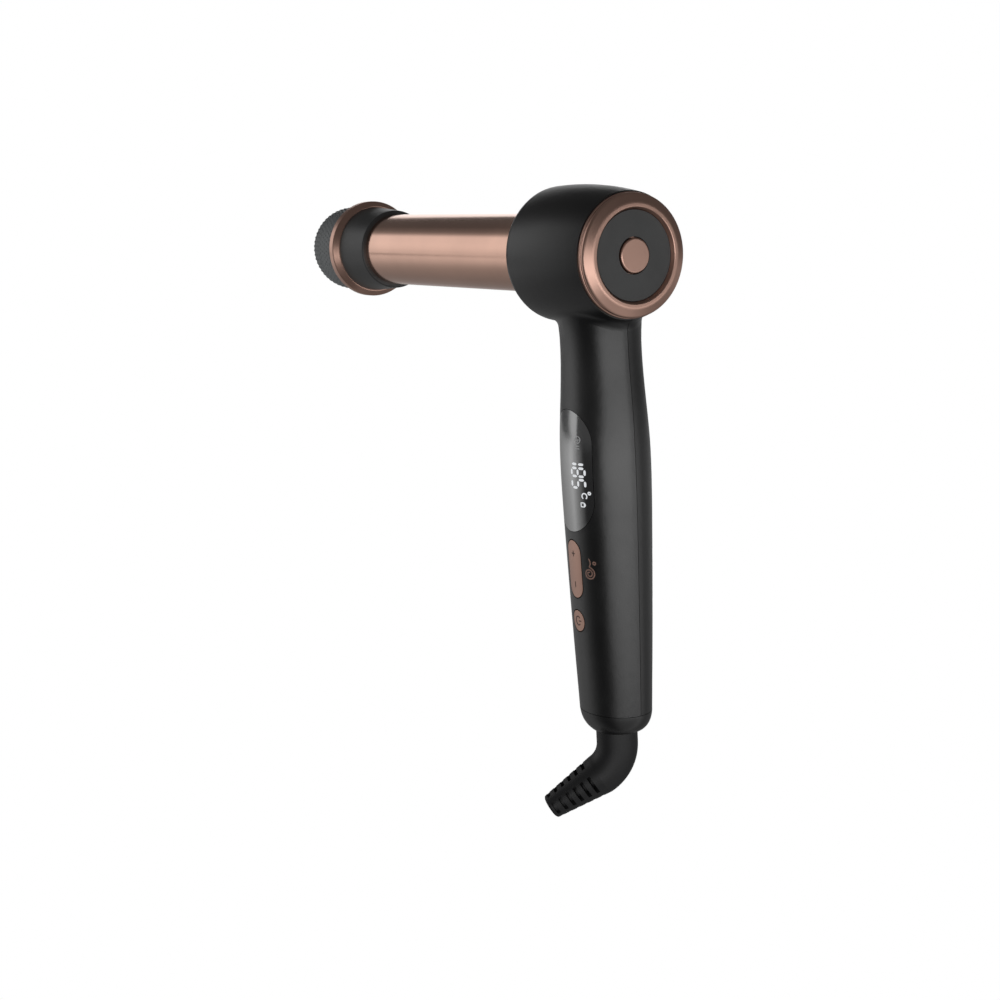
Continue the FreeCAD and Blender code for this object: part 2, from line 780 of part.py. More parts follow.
button_back = oval_loft("button_back", "grip", last, size.button_thick, -3.0, 1.0)
face_band = cut("button_skin", grip_outside, button_back)
rocker_form = slot("rocker_form", "rocker_drop", "rocker_length", "rocker_width")
rocker_top = common("rocker_top", face_band, rocker_form)
rocker_eye = box(
    "rocker_eye",
    "2 * rocker_eye_half",
    "4.4",
    "4",
    f"{CONTROL_X} - rocker_eye_half",
    "0 - rocker_pin_depth - 2.6",
    "0 - rocker_drop - 2",
)
pin_y = "0 - rocker_pin_depth"
rocker_z = "0 - rocker_drop"
bore_start = f"{CONTROL_X} - 6"
rocker_bore = rod("rocker_bore", "rocker_pin_radius + running_gap", "12", bore_start, pin_y, rocker_z)
finish(cut("rocker_button", fuse("rocker_with_eye", rocker_top, rocker_eye), rocker_bore), "rocker_button")
pin = rod(
    "rocker_pin", "rocker_pin_radius", "2 * rocker_pin_half", f"{CONTROL_X} - rocker_pin_half", pin_y, rocker_z
)
finish(pin, "rocker_pin")
lugs = [
    box(f"rocker_lug_{n}", "1.6", "5.1", "4", f"{CONTROL_X} {x}", "0 - board_face - 5.1", f"{rocker_z} - 2")
    for n, x in enumerate(("- rocker_pin_half", "+ rocker_pin_half - 1.6"))
]
pin_seat = rod("pin_seat", "rocker_pin_radius", "12", bore_start, pin_y, rocker_z)
finish(cut("rocker_bracket", fuse("rocker_lugs", *lugs), pin_seat), "rocker_bracket")


def push_switch(name, drop, plunger_length):
    """A push switch on the circuit board, its plunger towards the control face."""
    can = box(
        f"{name}_can",
        "switch_width",
        "switch_height",
        "switch_width",
        f"{CONTROL_X} - switch_width / 2",
        "0 - board_face - switch_height",
        f"0 - {drop} - switch_width / 2",
    )
    plunger = rod(
        f"{name}_plunger",
        "plunger_radius",
        plunger_length,
        CONTROL_X,
        f"0 - board_face - {plunger_length}",
        f"0 - {drop}",
        ALONG_Y,
    )
    return fuse(name, can, plunger)


switches = [
    push_switch(f"rocker_switch_{n}", drop, "rocker_plunger_length") for n, drop in enumerate((117.0, 131.0))
]
finish(group("rocker_switches", switches), "rocker_switches")
power_form = rod(
    "power_form", "power_radius", "slot_outer - slot_inner", CONTROL_X, SLOT_Y, "0 - power_drop", ALONG_Y
)
finish(common("power_head", face_band, power_form), "power_button")
finish(push_switch("power_switch", "power_drop", "power_plunger_length"), "power_switch")

board_back = "board_thick - board_face"
finish(box("power_supply", "14", "11", "16", "0 - 7", board_back, "0 - 140"), "power_supply")
finish(box("relay", "10", "9", "14", "0 - 5", board_back, "0 - 112"), "relay")
capacitor_y = f"{board_back} + capacitor_radius + 0.1"
finish(rod("capacitor", "capacitor_radius", "14", "0 - 3", capacitor_y, "0 - 160", ALONG_Z), "capacitor")
board_screws = [
    rod(f"board_screw_{n}", 2.0, "1.5", x, board_back, f"0 - {drop}", ALONG_Y)
    for n, (x, drop) in enumerate((("0 - 8", 66.0), ("8", 66.0), ("8", 160.0)))
]
finish(group("board_screws", board_screws), "board_screws")

# ---------------------------------------------------------------- end cap and cord swivel
cap_form = oval_loft("cap_form", "cap", len(CAP_OVALS))
cap_bore = rod("cap_bore", "journal_radius + running_gap", "12", "0", "0", "0 - cap_bottom - 1", ALONG_Z)
cap_recess = rod("cap_recess", 9.6, "5", "0", "0", "0 - cap_bottom + 5.8", ALONG_Z)
finish(cut("end_cap", cap_form, fuse("cap_holes", cap_bore, cap_recess)), "end_cap")
neck = turned(
    "swivel_journal",
    [
        ("0 - neck_bottom", "0"),
        ("0 - neck_bottom", "neck_radius"),
        ("0 - cap_bottom - 0.3", "neck_radius"),
        ("0 - cap_bottom - 0.3", "journal_radius"),
        ("0 - cap_bottom + 6.1", "journal_radius"),
        ("0 - cap_bottom + 6.1", "9.2"),
        ("0 - cap_bottom + 8.1", "9.2"),
        ("0 - cap_bottom + 8.1", "2.5"),
        ("0 - cap_bottom + 17", "2.5"),
        ("0 - cap_bottom + 17", "0"),
    ],
    upright=True,
)
heading = FreeCAD.Vector(math.cos(SWIVEL_HEADING), math.sin(SWIVEL_HEADING), 0)
down = FreeCAD.Vector(0, 0, -1)
bend = math.radians(size.bend_angle)
elbow_centre = down * size.neck_bottom + heading * size.bend_radius
relief_axis = heading * math.sin(bend) + down * math.cos(bend)
elbow_turn = down * math.sin(bend) - heading * math.cos(bend)
relief_start = elbow_centre + elbow_turn * size.bend_radius
elbow = doc.addObject("Part::Torus", "elbow")
bind(elbow, Radius1="bend_radius", Radius2="neck_radius", Angle3="bend_angle")
elbow.Placement = FreeCAD.Placement(
    elbow_centre, FreeCAD.Rotation(heading * -1, down, (heading * -1).cross(down), "XYZ")
)
finish(fuse("swivel_neck", neck, elbow), "swivel_neck")
relief_turn = FreeCAD.Rotation(FreeCAD.Vector(0, 0, 1), relief_axis)


def on_relief(thing):
    thing.Placement = FreeCAD.Placement(relief_start, relief_turn)
    return thing


cone = doc.addObject("Part::Cone", "relief_cone")
bind(cone, Radius1="neck_radius", Radius2="relief_tip_radius", Height="relief_length")
bore = doc.addObject("Part::Cylinder", "relief_bore")
bind(bore, Radius="cord_radius", Height="18")
bore.Placement = FreeCAD.Placement(
    relief_start + relief_axis * (size.relief_length - 17), relief_turn
)
finish(cut("strain_relief", on_relief(cone), bore), "strain_relief")
finish(
    tube("contact_ring_holder", "0 - cap_bottom + 9.4", "0 - cap_bottom + 18.5", "10", "5.2", upright=True),
    "contact_ring_holder",
)
contact_rings = [
    tube(f"contact_ring_{n}", f"{level} - cap_bottom", f"{level + 2} - cap_bottom", "5.2", "2.8", upright=True)
    for n, level in enumerate((10.4, 14.4))
]
finish(group("contact_rings", contact_rings), "contact_rings")

# ---------------------------------------------------------------- checks and export
doc.recompute()
failed = [thing.Name for thing in doc.Objects if "Invalid" in thing.State or "Error" in thing.State]
if failed:
    raise RuntimeError("objects that failed: " + ", ".join(failed))
os.makedirs("parts", exist_ok=True)
for thing in FINISHED:
    shape = thing.Shape
    if shape.isNull() or not shape.isValid() or shape.Volume <= 0:
        raise RuntimeError(f"{thing.Label} is null, invalid or empty")
for thing in FINISHED:
    thing.Shape.exportStep(os.path.join("parts", thing.Label + ".step"))
    print(f"{thing.Label:22s} {thing.Shape.Volume:10.1f} mm3  solids {len(thing.Shape.Solids)}")
tip = relief_start + relief_axis * size.relief_length
print("relief tip", [round(value, 3) for value in tip], "axis", [round(value, 5) for value in relief_axis])
print(len(FINISHED), "pieces")
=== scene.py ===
"""Looks of the automatic hair curler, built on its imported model."""

import json
import math

import bpy
import bmesh
from mathutils import Matrix, Vector
from mathutils.bvhtree import BVHTree

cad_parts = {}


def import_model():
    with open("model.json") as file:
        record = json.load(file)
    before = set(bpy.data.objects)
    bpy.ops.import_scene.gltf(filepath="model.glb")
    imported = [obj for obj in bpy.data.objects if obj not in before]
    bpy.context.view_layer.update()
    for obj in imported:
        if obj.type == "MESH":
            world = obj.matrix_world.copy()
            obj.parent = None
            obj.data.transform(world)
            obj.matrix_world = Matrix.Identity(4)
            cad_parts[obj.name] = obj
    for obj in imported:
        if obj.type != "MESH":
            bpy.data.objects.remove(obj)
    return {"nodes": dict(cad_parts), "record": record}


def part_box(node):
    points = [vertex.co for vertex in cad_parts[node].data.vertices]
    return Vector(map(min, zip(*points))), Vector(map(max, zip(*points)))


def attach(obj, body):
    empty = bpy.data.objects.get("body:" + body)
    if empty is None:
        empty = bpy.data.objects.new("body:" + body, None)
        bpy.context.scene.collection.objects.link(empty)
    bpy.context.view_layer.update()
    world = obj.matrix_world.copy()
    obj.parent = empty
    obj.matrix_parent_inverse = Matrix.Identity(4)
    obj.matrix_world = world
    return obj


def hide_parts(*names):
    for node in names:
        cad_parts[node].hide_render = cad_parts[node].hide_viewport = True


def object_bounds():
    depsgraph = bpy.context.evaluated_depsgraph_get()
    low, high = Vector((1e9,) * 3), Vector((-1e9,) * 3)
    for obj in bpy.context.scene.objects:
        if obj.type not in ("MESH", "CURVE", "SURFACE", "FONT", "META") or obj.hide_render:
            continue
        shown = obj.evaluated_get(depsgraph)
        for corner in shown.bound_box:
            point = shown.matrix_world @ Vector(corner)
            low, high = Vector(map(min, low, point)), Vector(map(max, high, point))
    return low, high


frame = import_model()
CAD_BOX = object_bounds()
NODES = frame["nodes"]
MM = 0.001

# ------------------------------------------------------------------ places read from the frame
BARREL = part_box("barrel_tube")
# The head centre, where the barrel's axis meets the handle's.
HEAD = Vector((0.0, 0.0, (BARREL[0].z + BARREL[1].z) / 2))


def middle_of(node):
    """Where a node's middle is on the control face: X across and down from the head centre, in mm.
    It is rounded, because the box is that of a mesh, which is a few microns off the curved CAD shape."""
    low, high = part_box(node)
    return round((low.x + high.x) / 2 / MM, 2), round((HEAD.z - (low.z + high.z) / 2) / MM, 2)


# ------------------------------------------------------------------ how materials are made
# The scales of the broad patches in plastic and in metal, about as many as fit in a metre.
PLASTIC_PATCHES = 60.0
METAL_PATCHES = 45.0


def shader_of(material):
    return material.node_tree.nodes["Principled BSDF"]


def new_material(name):
    """A new material, its node tree and its shader."""
    material = bpy.data.materials.new(name)
    material.use_nodes = True
    return material, material.node_tree, shader_of(material)


def add_noise(tree, scale, detail=3.0, squeeze=None):
    """A noise in the piece's own coordinates, in metres, and finer along an axis that is squeezed."""
    coords = tree.nodes.new("ShaderNodeTexCoord")
    noise = tree.nodes.new("ShaderNodeTexNoise")
    noise.inputs["Scale"].default_value = scale
    noise.inputs["Detail"].default_value = detail
    if squeeze is None:
        tree.links.new(coords.outputs["Object"], noise.inputs["Vector"])
    else:
        mapping = tree.nodes.new("ShaderNodeMapping")
        mapping.inputs["Scale"].default_value = squeeze
        tree.links.new(coords.outputs["Object"], mapping.inputs["Vector"])
        tree.links.new(mapping.outputs["Vector"], noise.inputs["Vector"])
    return noise.outputs["Fac"]


def add_roughness(tree, shader, source, low, high):
    """The source's 0 to 1 spread over low to high, as the roughness."""
    spread = tree.nodes.new("ShaderNodeMapRange")
    spread.inputs["To Min"].default_value = low
    spread.inputs["To Max"].default_value = high
    tree.links.new(source, spread.inputs["Value"])
    tree.links.new(spread.outputs["Result"], shader.inputs["Roughness"])


def add_tint(tree, shader, source, colour, darker, lighter):
    """The colour, times darker where the source is low and times lighter where it is high."""
    ramp = tree.nodes.new("ShaderNodeValToRGB")
    for element, place, share in zip(ramp.color_ramp.elements, (0.3, 0.7), (darker, lighter)):
        element.position = place
        element.color = (*(part * share for part in colour), 1)
    tree.links.new(source, ramp.inputs["Fac"])
    tree.links.new(ramp.outputs["Color"], shader.inputs["Base Color"])


def add_bump(tree, shader, source, depth):
    bump = tree.nodes.new("ShaderNodeBump")
    bump.inputs["Strength"].default_value = 1.0
    bump.inputs["Distance"].default_value = depth
    tree.links.new(source, bump.inputs["Height"])
    tree.links.new(bump.outputs["Normal"], shader.inputs["Normal"])


def moulded(name, colour, roughness, spread=0.06, grain=2600.0, depth=0.03 * MM, tint=0.12):
    """Moulded plastic: fine spark-eroded grain, slightly uneven gloss and colour."""
    material, tree, shader = new_material(name)
    fine = add_noise(tree, grain)
    broad = add_noise(tree, PLASTIC_PATCHES, 4.0)
    add_tint(tree, shader, broad, colour, 1 - tint, 1 + tint)
    add_roughness(tree, shader, broad, roughness - spread, roughness + spread)
    add_bump(tree, shader, fine, depth)
    return material


def metal(name, colour, roughness, brushed=0.0, squeeze=None, scale=900.0, depth=0.004 * MM):
    """Metal with fine marks, drawn out along an axis that is squeezed less than the others."""
    material, tree, shader = new_material(name)
    marks = add_noise(tree, scale, 2.0, squeeze)
    broad = add_noise(tree, METAL_PATCHES)
    shader.inputs["Metallic"].default_value = 1.0
    shader.inputs["Anisotropic"].default_value = brushed
    add_tint(tree, shader, broad, colour, 0.95, 1.04)
    add_roughness(tree, shader, marks, roughness * 0.85, roughness * 1.15)
    add_bump(tree, shader, marks, depth)
    return material


def gloss_by_height(material, low, high, below, above):
    """The specular level is one value below a band of heights and another above it."""
    tree = material.node_tree
    coords = tree.nodes.new("ShaderNodeTexCoord")
    split = tree.nodes.new("ShaderNodeSeparateXYZ")
    level = tree.nodes.new("ShaderNodeMapRange")
    level.inputs["From Min"].default_value = low
    level.inputs["From Max"].default_value = high
    level.inputs["To Min"].default_value = below
    level.inputs["To Max"].default_value = above
    tree.links.new(coords.outputs["Object"], split.inputs["Vector"])
    tree.links.new(split.outputs["Z"], level.inputs["Value"])
    tree.links.new(level.outputs["Result"], shader_of(material).inputs["Specular IOR Level"])


def lit(material, colour, strength):
    """The same material, glowing."""
    shader = shader_of(material)
    shader.inputs["Emission Color"].default_value = (*colour, 1)
    shader.inputs["Emission Strength"].default_value = strength
    return material


# ------------------------------------------------------------------ materials
# Marks drawn out along the barrel's axis, and marks drawn out round it.
LENGTHWISE = (1.0, 6.0, 6.0)
ROUNDWISE = (6.0, 1.0, 1.0)

MATERIALS = {
    "black_shell": moulded("satin_black_shell", (0.0065, 0.0065, 0.007), 0.34),
    "satin_black": moulded("satin_black_heatproof", (0.045, 0.046, 0.046), 0.36),
    "grey_cover": moulded("matte_grey_cover", (0.078, 0.079, 0.079), 0.62, grain=1800.0),
    "cool_tip_grey": moulded("cool_tip_grey", (0.23, 0.242, 0.248), 0.5),
    "rose_gold_barrel": metal("rose_gold_barrel", (0.76, 0.475, 0.37), 0.16, squeeze=LENGTHWISE),
    "rose_gold_trim": metal(
        "rose_gold_trim", (0.64, 0.40, 0.32), 0.33, brushed=0.2, squeeze=ROUNDWISE, scale=700.0
    ),
    "window_black": moulded("smoked_window", (0.010, 0.010, 0.011), 0.14, spread=0.02, depth=0.0),
    "black_rubber": moulded("black_elastomer", (0.014, 0.014, 0.015), 0.5, grain=2000.0),
    "steel": metal("plain_steel", (0.60, 0.60, 0.61), 0.32),
    "bronze": metal("sintered_bronze", (0.55, 0.38, 0.20), 0.45, depth=0.02 * MM),
    "bare_aluminium": metal("extruded_aluminium", (0.72, 0.73, 0.74), 0.35, squeeze=(0.1, 6.0, 6.0)),
    "ceramic": moulded("white_ceramic", (0.72, 0.71, 0.67), 0.5),
    "mica": moulded("mica_sheet", (0.42, 0.34, 0.22), 0.45, tint=0.3),
    "gear_nylon": moulded("natural_nylon", (0.68, 0.66, 0.60), 0.45),
    "circuit_green": moulded("solder_mask", (0.012, 0.12, 0.045), 0.3, tint=0.3),
    "switch_black": moulded("component_black", (0.03, 0.03, 0.03), 0.4),
}
# The handle is glossier than the drum, and the change is at the junction below the head.
gloss_by_height(MATERIALS["black_shell"], HEAD.z - 43 * MM, HEAD.z - 17 * MM, below=1.1, above=0.5)
# A high index makes the window mirror the room about as much as in the photograph.
shader_of(MATERIALS["window_black"]).inputs["IOR"].default_value = 5.0

PRINT_WHITE = lit(moulded("lit_white", (0.70, 0.72, 0.74), 0.4, tint=0.02), (0.9, 0.93, 0.96), 0.55)
PRINT_DIM = moulded("faint_display", (0.72, 0.73, 0.74), 0.4, tint=0.02)
PRINT_ROSE = moulded("printed_rose", (0.42, 0.25, 0.20), 0.45)
PRINT_DARK = moulded("printed_dark", (0.12, 0.062, 0.048), 0.5)

for entry in frame["record"]["subparts"]:
    finishes = NODES[entry["node"]].data.materials
    finishes.clear()
    finishes.append(MATERIALS[entry["material_slot"]])


# ------------------------------------------------------------------ mesh helpers
def mesh_piece(name, vertices, faces, material, body, smooth=True):
    """A new piece of the object that rides on a body, its faces turned outwards."""
    mesh = bpy.data.meshes.new(name)
    mesh.from_pydata([tuple(v) for v in vertices], [], faces)
    mesh.validate()
    mesh.materials.append(material)
    form = bmesh.new()
    form.from_mesh(mesh)
    bmesh.ops.recalc_face_normals(form, faces=form.faces)
    form.to_mesh(mesh)
    form.free()
    for face in mesh.polygons:
        face.use_smooth = smooth
    thing = bpy.data.objects.new(name, mesh)
    bpy.context.scene.collection.objects.link(thing)
    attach(thing, body)
    return thing


def surface_of(node):
    """A node's faces, ready to be met by rays."""
    mesh = NODES[node].data
    corners = [vertex.co.copy() for vertex in mesh.vertices]
    return BVHTree.FromPolygons(corners, [tuple(face.vertices) for face in mesh.polygons])


# ------------------------------------------------------------------ printing on a face
# All in mm. A stroke's cross-section is (half widths to the side, height over the face).
PRINT_TOP, PRINT_ROOT = 0.05, -0.04
STROKE_SECTION = ((-1, PRINT_ROOT), (-1, PRINT_TOP), (0, PRINT_TOP), (1, PRINT_TOP), (1, PRINT_ROOT))
STROKE_STEP = 0.5
# How wide the very end of an open stroke is, as a share of its full width.
STROKE_END = 0.35
# Rays towards the control face start this far in front of the handle's axis.
RAY_START = -60.0


def on_face(surface, across, down, lift):
    """The point of the control face at X across and down from the head centre, in mm, lifted off it."""
    start = HEAD + Vector((across, RAY_START, -down)) * MM
    hit, normal, _, _ = surface.ray_cast(start, Vector((0, 1, 0)))
    if normal.y > 0:
        normal = -normal
    return hit + normal * lift * MM


def even_steps(path, step):
    """The path's points with more put between them, no further apart than step."""
    points = [Vector(path[0])]
    for end in path[1:]:
        start, end = points[-1], Vector(end)
        count = max(1, math.ceil((end - start).length / step))
        points += [start.lerp(end, n / count) for n in range(1, count + 1)]
    return points


def stroke_half(half, to_end):
    """Half the width of an open stroke at a distance from its nearer end, so that the end is round."""
    if to_end >= half:
        return half
    return max(STROKE_END * half, math.sqrt(half * half - (half - to_end) ** 2))


def printed(name, strokes, width, node, body, material):
    """Strokes laid over a node's face: each a path of (across, down) points from the head centre, in mm.
    A stroke is open, with rounded ends, unless it ends where it starts."""
    surface = surface_of(node)
    size = len(STROKE_SECTION)
    vertices, faces = [], []
    for stroke in strokes:
        closed = len(stroke) > 2 and (Vector(stroke[0]) - Vector(stroke[-1])).length < 1e-6
        points = even_steps(stroke, STROKE_STEP)
        total = sum((b - a).length for a, b in zip(points, points[1:]))
        first, last = len(vertices), len(points) - 1
        run = 0.0
        for index, point in enumerate(points):
            before = points[index - 1] if index else points[-2 if closed else 0]
            after = points[index + 1] if index < last else points[1 if closed else -1]
            run += (point - points[index - 1]).length if index else 0.0
            along = (after - before).normalized()
            side = Vector((-along.y, along.x))
            half = width / 2 if closed else stroke_half(width / 2, min(run, total - run))
            for offset, height in STROKE_SECTION:
                place = point + side * offset * half
                vertices.append(on_face(surface, place.x, place.y, height))
        for row in range(last):
            for column in range(size - 1):
                corner = first + row * size + column
                faces.append((corner, corner + 1, corner + size + 1, corner + size))
        if not closed:
            for end in (first, first + last * size):
                faces.append(tuple(range(end, end + size)))
    return mesh_piece(name, vertices, faces, material, body, smooth=False)


def moved(path, across, down):
    return [(across + x, down + y) for x, y in path]


def ring_path(across, down, radius, count, start=0.0, end=360.0):
    """An arc of count steps from a start to an end angle in degrees, a full circle unless they are given."""
    angles = [math.radians(start + (end - start) * n / count) for n in range(count + 1)]
    return [(across + radius * math.cos(a), down + radius * math.sin(a)) for a in angles]


# ------------------------------------------------------------------ display, signs and curl mark
# A seven-segment figure, one wide and two tall. It reads down the handle, with its top towards +X.
SEGMENTS = {
    "a": ((0, 2), (1, 2)),
    "b": ((1, 2), (1, 1)),
    "c": ((1, 1), (1, 0)),
    "d": ((0, 0), (1, 0)),
    "e": ((0, 1), (0, 0)),
    "f": ((0, 2), (0, 1)),
    "g": ((0, 1), (1, 1)),
}
FIGURES = {"1": "bc", "8": "abcdefg", "5": "acdfg"}
# In mm. The foot is counted across from the lens's middle, and the gap is at each end of a segment.
FIGURE_WIDE, FIGURE_TALL = 3.2, 7.0
FIGURE_FOOT = 3.1
SEGMENT_GAP = 0.5


def figure(symbol, low, down):
    """The lit segments of one figure, each kept short of its neighbours."""
    strokes = []
    for segment in FIGURES[symbol]:
        start, end = (
            Vector((low + v * FIGURE_TALL / 2, down + u * FIGURE_WIDE)) for u, v in SEGMENTS[segment]
        )
        gap = (end - start).normalized() * SEGMENT_GAP
        strokes.append([tuple(start + gap), tuple(end - gap)])
    return strokes


def display():
    """A temperature with its degree sign, a lock and a timer, all placed from the lens's middle."""
    across, down = middle_of("display_lens")
    digits = []
    for symbol, place in (("1", -6.6), ("8", -1.8), ("5", 2.8)):
        digits += figure(symbol, across + FIGURE_FOOT, down + place)
    degree = ring_path(across + 11.7, down + 7.9, 0.5, 12)
    letter = ring_path(across + 9.4, down + 9.2, 1.15, 18, 120.0, 420.0)
    lock = moved([(7.5, 11.9), (9.1, 11.9), (9.1, 13.5), (7.5, 13.5), (7.5, 11.9)], across, down)
    shackle = ring_path(across + 9.1, down + 12.7, 0.55, 8, -90.0, 90.0)
    clock = ring_path(across + 6.9, down - 13.1, 1.3, 20)
    hands = moved([(7.7, -13.1), (6.9, -13.1), (6.9, -12.4)], across, down)
    bars = [moved([(5.9, place), (7.9, place)], across, down) for place in (-10.6, -9.6)]
    for name, strokes, width, material in (
        ("display_figures", digits, 1.0, PRINT_WHITE),
        ("display_degrees", [degree, letter], 0.5, PRINT_WHITE),
        ("display_lock", [lock, shackle], 0.4, PRINT_WHITE),
        ("display_timer", [clock, hands, *bars], 0.4, PRINT_DIM),
    ):
        printed(name, strokes, width, "display_lens", "housing", material)


def control_marks():
    """A plus and a minus on the rocker, and a power sign on the round button."""
    reach, half = 6.4, 1.3
    across, down = middle_of("rocker_button")
    level = moved([(-half, -reach), (half, -reach)], across, down)
    upright = moved([(0.0, -reach - half), (0.0, -reach + half)], across, down)
    minus = moved([(0.0, reach - half), (0.0, reach + half)], across, down)
    printed("rocker_plus", [level, upright], 0.5, "rocker_button", "rocker", PRINT_DARK)
    printed("rocker_minus", [minus], 0.5, "rocker_button", "rocker", PRINT_DARK)
    across, down = middle_of("power_button")
    loop = ring_path(across, down, 1.8, 24, 40.0, 320.0)
    bar = moved([(0.3, 0.0), (2.2, 0.0)], across, down)
    printed("power_mark", [loop, bar], 0.5, "power_button", "power_push", PRINT_DARK)


def curl_mark():
    """A generic curl beside the rocker: a wavy lock that ends in a spiral, and a small ring by it."""
    rocker_across, rocker_down = middle_of("rocker_button")
    across, down = rocker_across + 9.2, rocker_down + 0.6
    turns, outer, shrink = 2.1, 2.6, 0.82
    spiral_steps, lock_steps = 42, 10
    sway, lock_length = 0.7, 3.6
    spiral = []
    for n in range(spiral_steps + 1):
        share = n / spiral_steps
        angle = 2 * math.pi * turns * share - math.pi / 2
        radius = outer * (1 - shrink * share)
        spiral.append((across + radius * math.cos(angle), down + radius * math.sin(angle)))
    lock = []
    for n in range(lock_steps + 1):
        share = n / lock_steps
        lock.append((across + sway * math.sin(share * math.pi), down - outer - share * lock_length))
    drop = ring_path(across + 2.5, down - 4.4, 0.55, 12)
    printed("curl_mark", [spiral, lock, drop], 0.55, "housing_left", "housing", PRINT_ROSE)


# ------------------------------------------------------------------ cool tip dots
DOT_SIDES = 8
DOT_PITCH = 2.1 * MM
DOT_RADIUS = 0.55 * MM
DOT_HEIGHT = 0.24 * MM
# A dot's rings below its top: (share of the radius, share of the height).
DOT_RINGS = ((1.0, -0.1), (0.72, 0.7))
# From the cool tip's root, inside the tip ring, to its first ring of dots.
DOTS_FROM_ROOT = 2.2 * MM
# The radius that rounds the cool tip's end.
DOME_ROUND = 18.6 * MM


def dot_rings():
    """Where the rings of dots run: points (X, distance from the axis) with the surface's normal there."""
    low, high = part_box("cool_tip")
    radius = (high.y - low.y) / 2
    turn_start = low.x + DOME_ROUND
    rings = []
    x = high.x - DOTS_FROM_ROOT
    while x > turn_start:
        rings.append((Vector((x, radius)), Vector((0, 1))))
        x -= DOT_PITCH
    for n in range(int(DOME_ROUND * math.pi / 2 / DOT_PITCH)):
        angle = n * DOT_PITCH / DOME_ROUND
        normal = Vector((-math.sin(angle), math.cos(angle)))
        rings.append((Vector((turn_start, radius - DOME_ROUND)) + normal * DOME_ROUND, normal))
    return rings


def add_dot(vertices, faces, centre, outward, across):
    """One raised dot, its root just under the surface."""
    along = outward.cross(across)
    first = len(vertices)
    for reach, height in DOT_RINGS:
        for side in range(DOT_SIDES):
            a = 2 * math.pi * side / DOT_SIDES
            rim = (across * math.cos(a) + along * math.sin(a)) * DOT_RADIUS * reach
            vertices.append(centre + rim + outward * DOT_HEIGHT * height)
    vertices.append(centre + outward * DOT_HEIGHT)
    upper, top = first + DOT_SIDES, first + 2 * DOT_SIDES
    for side in range(DOT_SIDES):
        after = (side + 1) % DOT_SIDES
        faces.append((first + side, first + after, upper + after, upper + side))
        faces.append((upper + side, upper + after, top))


def dots():
    """Small raised dots in rings round the cool tip, each ring half a step on from the last."""
    vertices, faces = [], []
    for number, (place, normal) in enumerate(dot_rings()):
        count = max(1, round(2 * math.pi * place.y / DOT_PITCH))
        for k in range(count):
            turn = 2 * math.pi * (k + 0.5 * (number % 2)) / count
            outward = Vector((normal.x, normal.y * math.cos(turn), normal.y * math.sin(turn)))
            centre = Vector((place.x, place.y * math.cos(turn), HEAD.z + place.y * math.sin(turn)))
            add_dot(vertices, faces, centre, outward, Vector((0, -math.sin(turn), math.cos(turn))))
    grey = MATERIALS["cool_tip_grey"]
    mesh_piece("cool_tip_dots", vertices, faces, grey, "barrel_assembly")


# ------------------------------------------------------------------ strain relief
SLOT_ROWS = 6
SLOT_PITCH = 3.7 * MM
SLOT_WIDE = 1.5 * MM
# Half the run of a slot's steep side.
SLOT_WALL = 0.02 * MM
# The last slots start a pitch from the tip, less this.
SLOT_NEARER = 0.6 * MM
# On each of the four sides, the slots span these degrees of the quarter turn.
SLOT_FROM, SLOT_TO = 15.0, 75.0
# The wall left between a slot's floor and the bore.
CORE_WALL = 0.9 * MM
# The tip's edge is rounded over this length and depth, with one station between.
EDGE_LENGTH, EDGE_DEPTH = 0.9 * MM, 0.7 * MM
EDGE_STATION = 0.4 * MM
BASE_STATION = 0.8 * MM
RELIEF_COLUMNS = 96


